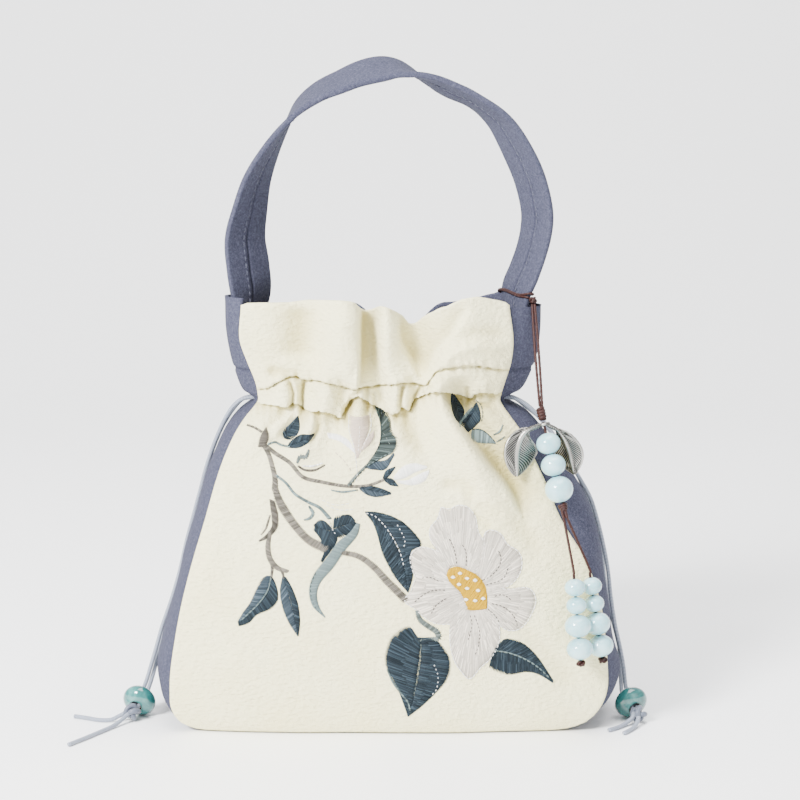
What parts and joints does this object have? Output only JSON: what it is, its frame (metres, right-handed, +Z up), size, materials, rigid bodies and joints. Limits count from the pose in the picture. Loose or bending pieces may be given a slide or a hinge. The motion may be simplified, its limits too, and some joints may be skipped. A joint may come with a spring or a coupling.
{
  "type": "drawstring handbag",
  "caption": "Small gathered cloth handbag with a flat top strap, side drawstrings with ceramic beads, floral embroidery on the front and a beaded leaf charm.",
  "frame": {"origin": "bottom centre of the bag and its charm, on the surface that the bag stands on", "axes": "+Z up to the top of the strap, +X to the right as the embroidered front is seen, -Y out of the embroidered front"},
  "size_m": [0.2723, 0.0978, 0.3105],
  "materials": {
    "cream_cloth": "matt crinkled cotton",
    "blue_grey_cloth": "matt brushed cotton",
    "satin_cord": "satin braid",
    "teal_glaze": "gloss",
    "pale_glaze": "gloss",
    "waxed_thread": "waxed cotton",
    "old_silver": "antique silver cast relief"
  },
  "bodies": {
    "root": {"front_panel": "cream_cloth", "back_panel": "blue_grey_cloth", "gusset": "blue_grey_cloth", "strap": "blue_grey_cloth", "left_cord_front": "satin_cord", "left_cord_back": "satin_cord", "right_cord_front": "satin_cord", "right_cord_back": "satin_cord", "left_cord_bead": "teal_glaze", "right_cord_bead": "teal_glaze", "left_cord_knot": "satin_cord", "right_cord_knot": "satin_cord", "left_tail_long": "satin_cord", "left_tail_short": "satin_cord", "right_tail_near": "satin_cord", "right_tail_far": "satin_cord", "charm_leaves": "old_silver", "charm_top_bead_1": "pale_glaze", "charm_top_bead_2": "pale_glaze", "charm_top_bead_3": "pale_glaze", "charm_front_bead_1": "pale_glaze", "charm_front_bead_2": "pale_glaze", "charm_front_bead_3": "pale_glaze", "charm_front_bead_4": "pale_glaze", "charm_back_bead_1": "pale_glaze", "charm_back_bead_2": "pale_glaze", "charm_back_bead_3": "pale_glaze", "charm_back_bead_4": "pale_glaze", "charm_hitch": "waxed_thread", "charm_hitch_knot": "waxed_thread", "charm_drop_left": "waxed_thread", "charm_drop_right": "waxed_thread", "charm_knot": "waxed_thread", "charm_core": "waxed_thread", "charm_whipping": "waxed_thread", "charm_thread_front": "waxed_thread", "charm_thread_back": "waxed_thread", "charm_end_knot_front": "waxed_thread", "charm_end_knot_back": "waxed_thread"}
  },
  "joints": []
}
